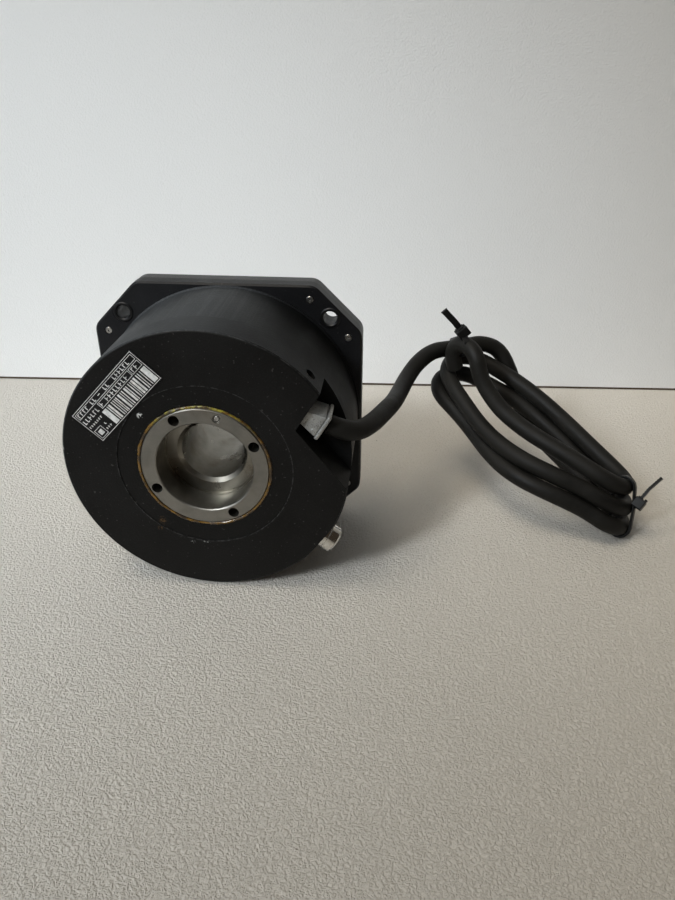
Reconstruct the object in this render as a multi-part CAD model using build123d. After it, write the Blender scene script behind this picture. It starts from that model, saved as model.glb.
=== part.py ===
from build123d import *
from math import cos, pi, radians, sin, tan
import os

# Rotary encoder with a hollow through shaft, a square mounting flange and a coiled cable.
# Millimetres. The shaft's axis is Y, from the cable cover at the front (-Y) to the flange (+Y).
# Z is up. The origin is on the shaft's axis, in the plane of the flange's mounting face.

# ---- driving dimensions -------------------------------------------------------------------
BODY_R = 44.0
COVER_DEPTH = 11.7
PLATE_THICKNESS = 5.0
BODY_DEPTH = 40.7
DEPTH = BODY_DEPTH + 2 * PLATE_THICKNESS
FLANGE_WIDTH = 90.0
FLANGE_FLAT = 59.0
FLANGE_ROUNDING = 5.0
WALL = 4.0

BORE_R = 10.0
RECESS_R = 15.0
RING_R = 19.8
RING_DEPTH = 8.8
RING_PCD = 35.0
RING_HOLE_R = 1.7
RING_HOLE_DEPTH = 7.0
RING_FIRST_ANGLE = 117.0
RING_HOLES = 4

BOLT_SPACING = 69.0
BOLT_HOLE_R = 2.25
BUSH_R = 3.45
CLEARANCE_HOLE_R = 2.8
PIN_R = 1.3
PIN_NEAR = 27.9
PIN_FAR = 40.35

CABLE_R = 3.125
FLOOR = -FLANGE_WIDTH / 2
RUNNING_GAP = 0.05

# Cable notch: a wedge cut into the cover, from its inner corner out to the rim.
NOTCH_CORNER = (28.2, 14.0)
NOTCH_SHORT_ANGLE = 58.3
NOTCH_LONG_ANGLE = -51.7
NOTCH_REACH = 60.0
NOTCH_WALL = 3.0

GLAND_ALONG_WALL = 4.2
GLAND_DEPTH = 6.4
GLAND_REACH = 7.2
CORE_R = 1.9
CORE_STUB = 1.2

# Compressed-air port, on a flat cut into the cover's rim.
AIR_ANGLE = -36.0
AIR_FLAT = 43.2
AIR_THREAD_R = 2.4

# Stations along the shaft, as depths behind the cover's front face.
COVER_WALL = 2.8
WEB_BACK = 14.7
FRONT_BEARING = 17.4
REAR_BEARING = 37.2
BEARING_WIDTH = 7.0
HUB_FRONT = 25.2
DISC_FRONT = 27.2
DISC_BACK = 28.8
CLAMP_BACK = 31.3
SHAFT_END = DEPTH + 0.5
BOARD_FRONT = 34.9
BOARD_BACK = 36.4

JOURNAL_R = 15.0
INNER_RACE_R = 16.6
BALL_PITCH_R = 18.0
BALL_R = 1.3
BALLS = 18
OUTER_RACE_R = 19.4
BEARING_R = 21.0
BEARING_BOSS_R = 25.0
HOUSING_CORE_R = BODY_R - WALL
SHOULDER_R = 18.4
DISC_R = 36.0

COVER_SCREW_ANGLES = (62.0, 180.0, 285.0)
COVER_SCREW_PITCH_R = 36.0
DISC_SCREW_PITCH_R = 19.2
POST_ANGLES = (35.0, 155.0, 275.0)
POST_PITCH_R = 38.6

# The cable leaves the gland towards the right, bends back and rises into the coil.
LEAD_POINTS = [
    (36.96, -44.25, 13.53), (41.6, -43.8, 11.2), (46.4, -40.1, 9.4), (50.4, -30.7, 8.0),
    (53.5, -19.7, 6.6), (56.0, -7.7, 4.0), (58.0, 5.3, 2.2), (60.6, 17.6, 2.8),
    (64.4, 26.6, 5.2), (70.2, 34.8, 7.0), (77.0, 39.8, 6.2), (83.6, 43.8, 6.0),
    (90.4, 47.0, 6.4), (97.4, 48.6, 3.4), (101.8, 46.4, -3.4),
]
RADIUS_SHARE = 0.45

# The coil leans: its lower end lies on the floor, and its upper end is held up by the lead.
COIL_FOOT = Vector(134.2, -14.0, -42.6)
COIL_LONG = Vector(0.704, -0.601, -0.379)
COIL_NORMAL = Vector(0.363, -0.154, 0.919)
COIL_LENGTH = 100.0
COIL_WIDTH = 42.0
COIL_THICKNESS = 19.0
COIL_OPENING = 14.0
COIL_CENTRE_ALONG = -44.5
COIL_CENTRE_ACROSS = 3.0
COIL_CENTRE_UP = 8.5
COIL_ROUNDING = 3.0

parts = {}


# ---- helpers ------------------------------------------------------------------------------
def at_depth(depth):
    """Y of a depth behind the cover's front face."""
    return depth - DEPTH


def turned(points):
    """Solid of revolution about the shaft's axis, from (radius, depth) corners."""
    outline = [(radius, at_depth(depth)) for radius, depth in points]
    return revolve(make_face(Polyline(*outline, close=True)), axis=Axis.Y)


def ring(inner, outer, front, back):
    """Plain ring about the shaft's axis, between two depths."""
    return turned([(inner, front), (outer, front), (outer, back), (inner, back)])


def rod(x, z, radius, front, back):
    """Round bar along Y, centred on (x, z)."""
    middle = at_depth((front + back) / 2)
    return Pos(x, middle, z) * Rot(90, 0, 0) * Cylinder(radius, back - front)


def block(x0, x1, z0, z1, front, back):
    """Rectangular block between two depths."""
    size = (x1 - x0, back - front, z1 - z0)
    return Pos((x0 + x1) / 2, at_depth((front + back) / 2), (z0 + z1) / 2) * Box(*size)


def prism(outline, front, back):
    """Straight prism along Y, from (x, z) corners."""
    face = Plane.XZ * make_face(Polyline(*outline, close=True))
    return Pos(0, at_depth(front), 0) * extrude(face, amount=front - back)


def polar(radius, angle):
    """(x, z) at a radius and an angle in degrees from +X towards +Z."""
    return radius * cos(radians(angle)), radius * sin(radians(angle))


def notch_wedge(margin, front, back):
    """The notch's wedge, grown by a margin on both of its walls."""
    half = radians(NOTCH_SHORT_ANGLE - NOTCH_LONG_ANGLE) / 2
    middle = (NOTCH_SHORT_ANGLE + NOTCH_LONG_ANGLE) / 2
    step = polar(margin / sin(half), middle)
    corner = (NOTCH_CORNER[0] - step[0], NOTCH_CORNER[1] - step[1])
    reach = [polar(NOTCH_REACH, angle) for angle in (NOTCH_LONG_ANGLE, NOTCH_SHORT_ANGLE)]
    ends = [(corner[0] + dx, corner[1] + dz) for dx, dz in reach]
    far = polar(2 * NOTCH_REACH, middle)
    return prism([corner, ends[0], far, ends[1]], front, back)


def add(name, shape):
    parts[name] = shape


# ---- stator: cover ------------------------------------------------------------------------
def make_cover():
    rim_chamfer = 0.6
    face_step_r = 27.0
    face_step = 0.3
    hub_inner = RING_R + 1.0
    seal_pocket_r = 23.0
    seal_front = 2.4
    seal_back = 8.0
    hub_outer = 26.0
    boss_r = 3.2
    boss_hole_r = 1.25
    blank = turned([
        (hub_inner, face_step), (face_step_r, face_step), (face_step_r, 0),
        (BODY_R - rim_chamfer, 0), (BODY_R, rim_chamfer), (BODY_R, COVER_DEPTH),
        (hub_inner, COVER_DEPTH), (hub_inner, seal_back), (seal_pocket_r, seal_back),
        (seal_pocket_r, seal_front), (hub_inner, seal_front),
    ])
    cavity = ring(hub_outer, HOUSING_CORE_R, COVER_WALL, COVER_DEPTH)
    cavity -= notch_wedge(NOTCH_WALL, COVER_WALL, COVER_DEPTH)
    for angle in COVER_SCREW_ANGLES:
        x, z = polar(COVER_SCREW_PITCH_R, angle)
        cavity -= rod(x, z, boss_r, COVER_WALL, COVER_DEPTH)
    cover = blank - cavity - notch_wedge(0, -1, COVER_DEPTH + 1)
    for angle in COVER_SCREW_ANGLES:
        x, z = polar(COVER_SCREW_PITCH_R, angle)
        cover -= rod(x, z, boss_hole_r, 5.0, COVER_DEPTH)
    gasket_groove = ring(41.0, 42.6, COVER_DEPTH - 0.6, COVER_DEPTH)
    gasket = gasket_groove - notch_wedge(NOTCH_WALL / 2, 0, COVER_DEPTH + 1)
    cover -= gasket
    add("cover_gasket", gasket)

    screw_angle = 42.6
    screw_depth = 5.2
    screw_r = 1.8
    radial = Pos(0, at_depth(screw_depth), 0) * Rot(0, 90 - screw_angle, 0)
    hole = radial * Pos(0, 0, BODY_R - WALL / 2) * Cylinder(screw_r, WALL + 2)
    sunk = 1.2
    screw_length = 2.6
    socket = Pos(0, 0, screw_length / 2 - 0.8) * extrude(RegularPolygon(1.0, 6), 1.0)
    screw = radial * Pos(0, 0, BODY_R - sunk - screw_length / 2) * (
        Cylinder(screw_r, screw_length) - socket)
    cover -= hole
    add("radial_set_screw", screw)

    cover -= gland_place() * Pos(0, 0, -NOTCH_WALL / 2) * Cylinder(CORE_R, NOTCH_WALL + 1.5)
    flat = Pos(0, 0, AIR_FLAT + WALL) * Box(2 * BODY_R, 2 * COVER_DEPTH, 2 * WALL)
    port = Pos(0, 0, AIR_FLAT - WALL / 2) * Cylinder(AIR_THREAD_R, 2 * WALL)
    cover -= air_place() * (flat + port)
    add("front_cover", cover)

    seal_lip = RING_R + RUNNING_GAP
    add("front_seal", turned([
        (seal_lip, seal_front), (seal_pocket_r, seal_front), (seal_pocket_r, seal_back),
        (seal_lip + 1.6, seal_back), (seal_lip + 1.6, seal_front + 1.5), (seal_lip, seal_front + 1.1),
    ]))


def gland_place():
    """Frame on the notch's short wall, with Z along the cable gland's axis."""
    step = polar(GLAND_ALONG_WALL, NOTCH_SHORT_ANGLE)
    foot = (NOTCH_CORNER[0] + step[0], at_depth(GLAND_DEPTH), NOTCH_CORNER[1] + step[1])
    across = polar(1, NOTCH_SHORT_ANGLE - 90)
    return Plane(origin=foot, x_dir=(0, 1, 0), z_dir=(across[0], 0, across[1])).location


def make_gland():
    """Cast gland that widens outwards, its end plate, and the cable's stripped core inside it."""
    plate_length = 1.3
    plate_size = (10.0, 8.6)
    body_length = GLAND_REACH - plate_length
    place = gland_place()
    narrow = Rectangle(9.2, 4.6)
    wide = Pos(0, 0, body_length) * Rectangle(9.6, 7.4)
    core_hole = Pos(0, 0, GLAND_REACH / 2) * Cylinder(CORE_R, GLAND_REACH)
    body = loft([narrow, wide])
    body = fillet(body.edges().filter_by(GeomType.LINE).group_by(Axis.Z)[1], 0.5)
    add("gland_body", place * (body - core_hole))
    plate = fillet(Box(*plate_size, plate_length).edges(), 0.5)
    plate = Pos(0, 0, body_length + plate_length / 2) * plate
    add("gland_end_plate", place * (plate - core_hole))
    core_length = NOTCH_WALL + GLAND_REACH + CORE_STUB
    add("cable_core", place * Pos(0, 0, core_length / 2 - NOTCH_WALL) * Cylinder(CORE_R, core_length))


def make_cover_screws():
    head_r = 2.2
    head_height = 1.6
    shank_r = 1.25
    shank_front = 6.0
    for number, angle in enumerate(COVER_SCREW_ANGLES, 1):
        x, z = polar(COVER_SCREW_PITCH_R, angle)
        screw = rod(x, z, head_r, WEB_BACK, WEB_BACK + head_height)
        screw += rod(x, z, shank_r, shank_front, WEB_BACK)
        add(f"cover_screw_{number}", screw)


def make_label():
    """Blank label plate, stuck on the cover's front face at a slant."""
    length = 30.0
    width = 12.0
    thickness = 0.25
    centre = (-24.2, 22.65)
    slant = 46.3
    plate = Box(length, thickness, width)
    plate = fillet(plate.edges().filter_by(Axis.Y), 0.6)
    place = Pos(centre[0], at_depth(-thickness / 2), centre[1]) * Rot(0, -slant, 0)
    add("label_plate", place * plate)


# ---- stator: housing ----------------------------------------------------------------------
def air_place():
    """Frame on the shaft's axis with Z pointing out through the compressed-air port."""
    return Pos(0, at_depth(COVER_DEPTH / 2), 0) * Rot(0, 90 - AIR_ANGLE, 0)


def make_housing():
    collar_r = BODY_R + 0.5
    collar = 0.8
    housing = turned([
        (SHOULDER_R, COVER_DEPTH), (BODY_R, COVER_DEPTH), (BODY_R, BODY_DEPTH - collar),
        (collar_r, BODY_DEPTH - collar + 0.2), (collar_r, BODY_DEPTH), (HOUSING_CORE_R, BODY_DEPTH),
        (HOUSING_CORE_R, WEB_BACK), (BEARING_BOSS_R, WEB_BACK),
        (BEARING_BOSS_R, FRONT_BEARING + BEARING_WIDTH), (BEARING_R, FRONT_BEARING + BEARING_WIDTH),
        (BEARING_R, FRONT_BEARING), (SHOULDER_R, FRONT_BEARING),
    ])
    post_r = 1.8
    for angle in POST_ANGLES:
        x, z = polar(POST_PITCH_R, angle)
        housing += rod(x, z, post_r, WEB_BACK, BOARD_FRONT)
    for angle in COVER_SCREW_ANGLES:
        x, z = polar(COVER_SCREW_PITCH_R, angle)
        housing -= rod(x, z, 1.3, COVER_DEPTH, WEB_BACK)
    wire_x, wire_z = polar(32.0, -120.0)
    housing -= rod(wire_x, wire_z, 3.0, COVER_DEPTH, WEB_BACK)
    add("housing", housing)


def make_air_fitting():
    """Plug of the compressed-air port: a seat on the rim's flat, a narrow neck and a round cap."""
    seat_r = 4.4
    seat_top = 44.6
    neck_r = 4.0
    neck_top = 44.9
    cap_r = 4.35
    cap_top = 48.4
    thread_end = HOUSING_CORE_R
    steps = ((AIR_THREAD_R, thread_end, AIR_FLAT), (seat_r, AIR_FLAT, seat_top), (neck_r, seat_top, neck_top))
    body = Part()
    for radius, low, high in steps:
        body += Pos(0, 0, (low + high) / 2) * Cylinder(radius, high - low)
    add("air_fitting", air_place() * body)
    cap = Pos(0, 0, (neck_top + cap_top) / 2) * Cylinder(cap_r, cap_top - neck_top)
    cap = chamfer(cap.edges().sort_by(Axis.Z)[-1], 0.7)
    add("air_fitting_cap", air_place() * cap)


def octagon(margin, front, back):
    """The flange's outline: a square with straight-cut corners."""
    side = FLANGE_WIDTH / 2 - margin
    flat = FLANGE_FLAT / 2 - margin * tan(pi / 8)
    corners = []
    for sx, sz in ((1, 1), (-1, 1), (-1, -1), (1, -1)):
        pair = [(sx * side, sz * flat), (sx * flat, sz * side)]
        corners += pair if sx * sz > 0 else pair[::-1]
    outline = prism(corners, front, back)
    return fillet(outline.edges().filter_by(Axis.Y), FLANGE_ROUNDING)


def corner_places(distance):
    return [(sx * distance, sz * distance) for sx, sz in ((1, 1), (-1, 1), (-1, -1), (1, -1))]


def pin_places():
    """Two pins at each of two corners, and one at each of the others."""
    half = [(PIN_FAR, PIN_NEAR), (PIN_NEAR, PIN_FAR), (-PIN_FAR, PIN_NEAR)]
    return half + [(-x, -z) for x, z in half]


def make_flange():
    """Front plate with the rear bearing's seat, rear plate, and the bushes and pins through both."""
    chamfer_width = 0.6
    middle = BODY_DEPTH + PLATE_THICKNESS
    front = octagon(0, BODY_DEPTH, middle)
    front = chamfer(front.faces().sort_by(Axis.Y)[0].edges(), chamfer_width)
    rear = octagon(0.15, middle, DEPTH)
    rear = chamfer(rear.faces().sort_by(Axis.Y)[-1].edges(), 0.3)
    seat = REAR_BEARING + BEARING_WIDTH
    front += ring(BEARING_R, BEARING_BOSS_R, REAR_BEARING - 0.5, BODY_DEPTH + 1)
    front -= ring(0, BEARING_R, REAR_BEARING - 1, seat)
    front -= ring(0, SHOULDER_R, seat, middle)
    seal_r = 20.0
    seal_front = DEPTH - 4.0
    rear -= ring(0, SHOULDER_R, middle, DEPTH)
    rear -= ring(0, seal_r, seal_front, DEPTH)
    bolt_places = corner_places(BOLT_SPACING / 2)
    for x, z in bolt_places:
        front -= rod(x, z, BUSH_R, BODY_DEPTH, middle)
        rear -= rod(x, z, CLEARANCE_HOLE_R, middle, DEPTH)
    for x, z in pin_places():
        front -= rod(x, z, PIN_R, BODY_DEPTH, middle)
        rear -= rod(x, z, PIN_R, middle, DEPTH)
    add("flange_front_plate", front)
    add("flange_rear_plate", rear)
    proud = 0.25
    for number, (x, z) in enumerate(bolt_places, 1):
        bush = rod(x, z, BUSH_R, BODY_DEPTH - proud, middle)
        bush -= rod(x, z, BOLT_HOLE_R, BODY_DEPTH - proud, middle)
        bush = chamfer(bush.faces().sort_by(Axis.Y)[0].edges(), 0.35)
        add(f"flange_bush_{number}", bush)
    for number, (x, z) in enumerate(pin_places(), 1):
        pin = rod(x, z, PIN_R, BODY_DEPTH - 0.1, DEPTH - 0.4)
        pin = chamfer(pin.faces().sort_by(Axis.Y)[0].edges(), 0.3)
        pin -= rod(x, z, 0.4, BODY_DEPTH - 0.1, BODY_DEPTH + 0.3)
        add(f"flange_pin_{number}", pin)
    shaft_r = 14.5
    lip = shaft_r + RUNNING_GAP
    add("rear_seal", turned([
        (lip, DEPTH - 1.1), (lip, DEPTH), (seal_r, DEPTH), (seal_r, seal_front),
        (lip + 1.6, seal_front), (lip + 1.6, DEPTH - 1.5),
    ]))


# ---- rotor --------------------------------------------------------------------------------
def make_front_ring():
    """Ring at the rotor's front with its tapped holes, a dowel pin and one small cross hole."""
    edge = 0.3
    rotor_ring = turned([
        (RECESS_R, edge), (RECESS_R + edge, 0), (RING_R - edge, 0), (RING_R, edge),
        (RING_R, RING_DEPTH), (RECESS_R, RING_DEPTH),
    ])
    pitch_r = RING_PCD / 2
    for number in range(RING_HOLES):
        x, z = polar(pitch_r, RING_FIRST_ANGLE + number * 360 / RING_HOLES)
        rotor_ring -= rod(x, z, RING_HOLE_R, 0, RING_HOLE_DEPTH)
    dowel_r = 1.05
    dowel_depth = 5.0
    dowel_x, dowel_z = polar(pitch_r, 73.5)
    rotor_ring -= rod(dowel_x, dowel_z, dowel_r, 0, dowel_depth)
    rotor_ring -= rod(dowel_x, dowel_z, dowel_r + 0.3, 0, 0.35)
    cross_angle = 152.0
    cross_depth = 4.6
    cross = Pos(0, at_depth(cross_depth), 0) * Rot(0, 90 - cross_angle, 0)
    rotor_ring -= cross * Pos(0, 0, RECESS_R + 1) * Cylinder(1.0, 4.0)
    add("front_ring", rotor_ring)
    dowel = rod(dowel_x, dowel_z, dowel_r, 0.15, dowel_depth)
    add("dowel_pin", chamfer(dowel.faces().sort_by(Axis.Y)[0].edges(), 0.4))


def disc_screw_places():
    return [polar(DISC_SCREW_PITCH_R, angle) for angle in (90, 210, 330)]


def make_shaft():
    hub_r = 22.0
    neck_r = 17.9
    step_r = 14.6
    tail_r = 14.5
    nut_back = REAR_BEARING + BEARING_WIDTH + 2.0
    shaft = turned([
        (step_r, RING_DEPTH), (RING_R, RING_DEPTH), (RING_R, 11.2), (neck_r, 11.2),
        (neck_r, FRONT_BEARING - 0.2), (JOURNAL_R + 1.2, FRONT_BEARING - 0.2),
        (JOURNAL_R + 1.2, FRONT_BEARING), (JOURNAL_R, FRONT_BEARING),
        (JOURNAL_R, HUB_FRONT - 0.4), (INNER_RACE_R, HUB_FRONT - 0.4), (INNER_RACE_R, HUB_FRONT),
        (hub_r, HUB_FRONT), (hub_r, DISC_FRONT), (JOURNAL_R, DISC_FRONT), (JOURNAL_R, nut_back),
        (tail_r, nut_back), (tail_r, SHAFT_END - 0.4), (tail_r - 0.4, SHAFT_END),
        (BORE_R + 0.4, SHAFT_END), (BORE_R, SHAFT_END - 0.4), (BORE_R, 11.35), (11.2, 10.15),
        (step_r, 10.0),
    ])
    screw_r = 0.8
    for x, z in disc_screw_places():
        shaft -= rod(x, z, screw_r, HUB_FRONT, DISC_FRONT)
    add("hollow_shaft", shaft)

    fit_r = JOURNAL_R
    disc = ring(fit_r, DISC_R, DISC_FRONT, DISC_BACK)
    clamp = ring(fit_r, 21.2, DISC_BACK, CLAMP_BACK)
    head_r = 1.5
    head = 0.9
    for number, (x, z) in enumerate(disc_screw_places(), 1):
        disc -= rod(x, z, screw_r, DISC_FRONT, DISC_BACK)
        clamp -= rod(x, z, screw_r, DISC_BACK, CLAMP_BACK - head)
        clamp -= rod(x, z, head_r, CLAMP_BACK - head, CLAMP_BACK)
        screw = rod(x, z, screw_r, HUB_FRONT, CLAMP_BACK - head)
        screw += rod(x, z, head_r, CLAMP_BACK - head, CLAMP_BACK)
        add(f"disc_screw_{number}", screw)
    add("graduated_disc", disc)
    add("disc_clamp_ring", clamp)
    add("bearing_spacer", ring(fit_r, INNER_RACE_R, CLAMP_BACK, REAR_BEARING))
    lock_nut = ring(fit_r, 17.5, REAR_BEARING + BEARING_WIDTH, nut_back)
    for angle in (0, 90, 180, 270):
        x, z = polar(17.5, angle)
        lock_nut -= rod(x, z, 1.2, REAR_BEARING + BEARING_WIDTH, nut_back)
    add("shaft_lock_nut", lock_nut)


def make_bearing(name, front):
    """Thin-section ball bearing: two rings, and the balls joined by their cage."""
    back = front + BEARING_WIDTH
    inner_back = HUB_FRONT - 0.4 if name == "front" else back
    add(f"{name}_bearing_outer_ring", ring(OUTER_RACE_R, BEARING_R, front, back))
    add(f"{name}_bearing_inner_ring", ring(JOURNAL_R, INNER_RACE_R, front, inner_back))
    middle = (front + back) / 2
    cage = ring(BALL_PITCH_R - 0.5, BALL_PITCH_R + 0.5, middle - 1.9, middle + 1.9)
    for number in range(BALLS):
        x, z = polar(BALL_PITCH_R, (number + 0.5) * 360 / BALLS)
        cage += Pos(x, at_depth(middle), z) * Rot(90, 0, 0) * Sphere(BALL_R)
    add(f"{name}_bearing_cage", cage)


# ---- scanning unit and board --------------------------------------------------------------
def make_scanning_unit():
    """Lamp and lens before the disc, scanning plate and photodetector behind it."""
    half = 7.0
    low = 26.0
    high = 35.5
    lamp_back = 25.6
    lens_r = 3.2
    lens_z = (low + high) / 2
    lens_front = lamp_back - 1.6
    lamp = block(-half, half, low, high, WEB_BACK, lamp_back)
    lamp -= rod(0, lens_z, lens_r, lens_front, lamp_back)
    add("lamp_housing", lamp)
    add("condenser_lens", rod(0, lens_z, lens_r, lens_front, lamp_back - 0.3))

    plate_front = DISC_BACK + 0.5
    holder_front = plate_front + 1.0
    holder_back = 32.6
    bridge_back = 34.0
    bridge_low = 37.0
    add("scanning_plate", block(-half + 1, half - 1, low, high, plate_front, holder_front))
    holder = block(-half, half, low - 0.5, high + 0.5, holder_front, holder_back)
    chip = block(-3.0, 3.0, lens_z - 2.5, lens_z + 2.5, holder_front, holder_front + 1.2)
    add("detector_holder", holder - chip)
    add("photodetector", chip)
    shell = ring(bridge_low, HOUSING_CORE_R, WEB_BACK, bridge_back)
    bridge = shell & block(-9.0, 9.0, bridge_low - 2, HOUSING_CORE_R + 1, WEB_BACK, bridge_back)
    back_plate = block(-half, half, low - 0.5, bridge_low + 1.2, holder_back, bridge_back)
    add("scanning_bridge", bridge + back_plate)


def make_board():
    board = ring(26.5, HOUSING_CORE_R - 0.2, BOARD_FRONT, BOARD_BACK)
    add("circuit_board", board)
    chip_x, chip_z = polar(33.0, 200.0)
    half_chip = 4.0
    chip_height = 1.4
    add("interpolator_chip", block(
        chip_x - half_chip, chip_x + half_chip, chip_z - half_chip, chip_z + half_chip,
        BOARD_BACK, BOARD_BACK + chip_height))
    plug_x, plug_z = polar(32.0, -90.0)
    add("board_connector", block(
        plug_x - 7.0, plug_x + 7.0, plug_z - 2.8, plug_z + 2.8, BOARD_BACK, BODY_DEPTH - 0.4))


# ---- cable --------------------------------------------------------------------------------
def corner_radii(points):
    """Largest tangent arc for each corner of a route."""
    radii = []
    for before, here, after in zip(points, points[1:], points[2:]):
        arrive = Vector(*here) - Vector(*before)
        leave = Vector(*after) - Vector(*here)
        half_turn = radians(arrive.get_angle(leave)) / 2
        radii.append(RADIUS_SHARE * min(arrive.length, leave.length) / tan(half_turn))
    return radii


def make_cable():
    radii = corner_radii(LEAD_POINTS)
    print("lead bend radii:", [round(radius, 1) for radius in radii])
    path = FilletPolyline(*LEAD_POINTS, radius=radii)
    start = Plane(origin=path @ 0, z_dir=path % 0)
    lead = sweep(start * Circle(CABLE_R), path=path)
    print("lead volume against section times length:", lead.volume / (pi * CABLE_R ** 2 * path.length))
    add("cable_lead", lead)

    across = COIL_NORMAL.cross(COIL_LONG).normalized()
    centre = COIL_FOOT + COIL_LONG * COIL_CENTRE_ALONG + across * COIL_CENTRE_ACROSS
    centre += COIL_NORMAL * COIL_CENTRE_UP
    plane = Plane(origin=centre, x_dir=COIL_LONG, z_dir=COIL_NORMAL)
    outer = SlotOverall(COIL_LENGTH, COIL_WIDTH)
    opening = SlotOverall(COIL_LENGTH - COIL_WIDTH + COIL_OPENING, COIL_OPENING)
    coil = extrude(outer - opening, COIL_THICKNESS / 2, both=True)
    coil = fillet(coil.faces().sort_by(Axis.Z)[0].edges() + coil.faces().sort_by(Axis.Z)[-1].edges(),
                  COIL_ROUNDING)
    coil = plane.location * coil
    reach = 400.0
    coil -= Pos(0, 0, FLOOR - reach / 2) * Box(reach, reach, reach)
    add("cable_coil", coil)


def make_tie(name, head, tail, strap_from, strap_to):
    """Cable tie: ratchet head, cut tail and the strap round strands between two centres."""
    strap_width = 2.5
    strap_thickness = 1.1
    strap_r = 4.4
    head_size = (4.6, 4.2, 3.4)
    frame = Plane(origin=head, z_dir=tail - head).location
    tie = frame * Box(*head_size)
    length = (tail - head).length
    tie += frame * Pos(0, 0, length / 2) * Box(strap_width, strap_thickness, length)
    span = strap_to - strap_from
    outer = SlotCenterToCenter(span.length, 2 * strap_r)
    inner = SlotCenterToCenter(span.length, 2 * (strap_r - strap_thickness))
    loop = extrude(outer - inner, strap_width / 2, both=True)
    plane = Plane(origin=(strap_from + strap_to) / 2, x_dir=span, z_dir=span.cross(head - strap_from))
    tie += plane.location * loop
    add(name, tie)


# ---- whole object -------------------------------------------------------------------------
make_cover()
make_gland()
make_cover_screws()
make_label()
make_housing()
make_air_fitting()
make_flange()
make_front_ring()
make_shaft()
make_bearing("front", FRONT_BEARING)
make_bearing("rear", REAR_BEARING)
make_scanning_unit()
make_board()
make_cable()
make_tie("upper_cable_tie", head=Vector(80.7, 28.5, 17.2), tail=Vector(73.0, 27.0, 26.0),
         strap_from=Vector(79.6, 41.3, 6.1), strap_to=Vector(82.0, 27.9, 12.4))
make_tie("lower_cable_tie", head=Vector(144.4, -10.0, -30.8), tail=Vector(153.0, -5.4, -21.8),
         strap_from=Vector(139.4, -10.6, -40.4), strap_to=Vector(139.8, -5.3, -27.0))

os.makedirs("parts", exist_ok=True)
for name, shape in parts.items():
    export_step(shape, f"parts/{name}.step")
print(len(parts), "nodes")
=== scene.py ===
import random
from math import atan2, cos, pi, radians, sin

import bpy
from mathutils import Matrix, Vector, noise


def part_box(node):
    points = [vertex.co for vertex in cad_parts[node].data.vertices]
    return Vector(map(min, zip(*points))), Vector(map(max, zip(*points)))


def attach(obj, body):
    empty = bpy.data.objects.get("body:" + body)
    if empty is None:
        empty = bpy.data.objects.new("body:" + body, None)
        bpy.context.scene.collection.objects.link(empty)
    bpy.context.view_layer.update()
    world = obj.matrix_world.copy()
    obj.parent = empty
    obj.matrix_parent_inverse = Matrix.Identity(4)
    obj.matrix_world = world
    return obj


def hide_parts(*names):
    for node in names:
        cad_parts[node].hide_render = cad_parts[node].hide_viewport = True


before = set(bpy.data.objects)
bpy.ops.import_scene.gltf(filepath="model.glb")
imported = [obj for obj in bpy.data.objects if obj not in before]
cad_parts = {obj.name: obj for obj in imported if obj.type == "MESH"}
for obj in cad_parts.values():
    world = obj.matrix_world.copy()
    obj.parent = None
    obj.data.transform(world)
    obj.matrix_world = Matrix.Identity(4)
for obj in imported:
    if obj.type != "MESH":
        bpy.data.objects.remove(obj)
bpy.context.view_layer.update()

# Rotary encoder: satin black housing, machined steel shaft ring, zinc cable gland and a tied coil
# of cable. Metres, in the frame's axes: the shaft is Y, its cover faces -Y, and Z is up.
MM = 0.001
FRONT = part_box("front_cover")[0].y
BODY_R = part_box("front_cover")[1].z
RING_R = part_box("front_ring")[1].z
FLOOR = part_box("flange_front_plate")[0].z
CABLE_R = 3.125 * MM


# ---- camera ---------------------------------------------------------------------------------
def make_camera():
    place = Vector((0.0576, -0.2421, 0.1145))
    aim = Vector((0.0187, 0.1939, -0.1275))
    data = bpy.data.cameras.new("camera")
    data.lens = 29.92
    data.sensor_width = 36.0
    data.clip_start = 0.01
    camera = bpy.data.objects.new("camera", data)
    camera.location = place
    camera.rotation_euler = (aim - place).to_track_quat("-Z", "Y").to_euler()
    bpy.context.collection.objects.link(camera)
    bpy.context.scene.camera = camera


# ---- cable ----------------------------------------------------------------------------------
# From the gland the cable bends back along the housing and rises to the coil's upper end.
LEAD = [
    (0.03696, -0.04425, 0.01353), (0.0416, -0.0438, 0.0112), (0.0464, -0.0401, 0.0094),
    (0.0504, -0.0307, 0.0080), (0.0535, -0.0197, 0.0066), (0.0560, -0.0077, 0.0040),
    (0.0580, 0.0053, 0.0022), (0.0606, 0.0176, 0.0028), (0.0644, 0.0266, 0.0052),
    (0.0702, 0.0348, 0.0070), (0.0770, 0.0398, 0.0062), (0.0836, 0.0438, 0.0060),
    (0.0904, 0.0470, 0.0064), (0.0974, 0.0486, 0.0034), (0.1018, 0.0464, -0.0034),
    (0.1046, 0.0428, -0.0104), (0.1072, 0.0386, -0.0170),
]
# The last turn rises to an arch over the others, and its end hangs down behind.
ARCH = [
    (0.0972, 0.0140, -0.0086), (0.0928, 0.0172, -0.0044), (0.0892, 0.0198, 0.0004),
    (0.0872, 0.0210, 0.0052), (0.0862, 0.0220, 0.0096), (0.0838, 0.0254, 0.0124),
    (0.0807, 0.0296, 0.0124), (0.0783, 0.0326, 0.0094), (0.0779, 0.0334, 0.0050),
    (0.0794, 0.0340, 0.0006),
]
COIL_FOOT = Vector((0.1342, -0.0140, -0.0426))
COIL_LONG = Vector((0.704, -0.601, -0.379))
COIL_ACROSS = Vector((0.664, 0.746, 0.051))
COIL_NORMAL = Vector((0.2516, -0.2880, 0.9240))
POINTS_PER_TURN = 26
COIL_START, COIL_END = 0.2, 2.735
HANDOVER = 0.2
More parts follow.
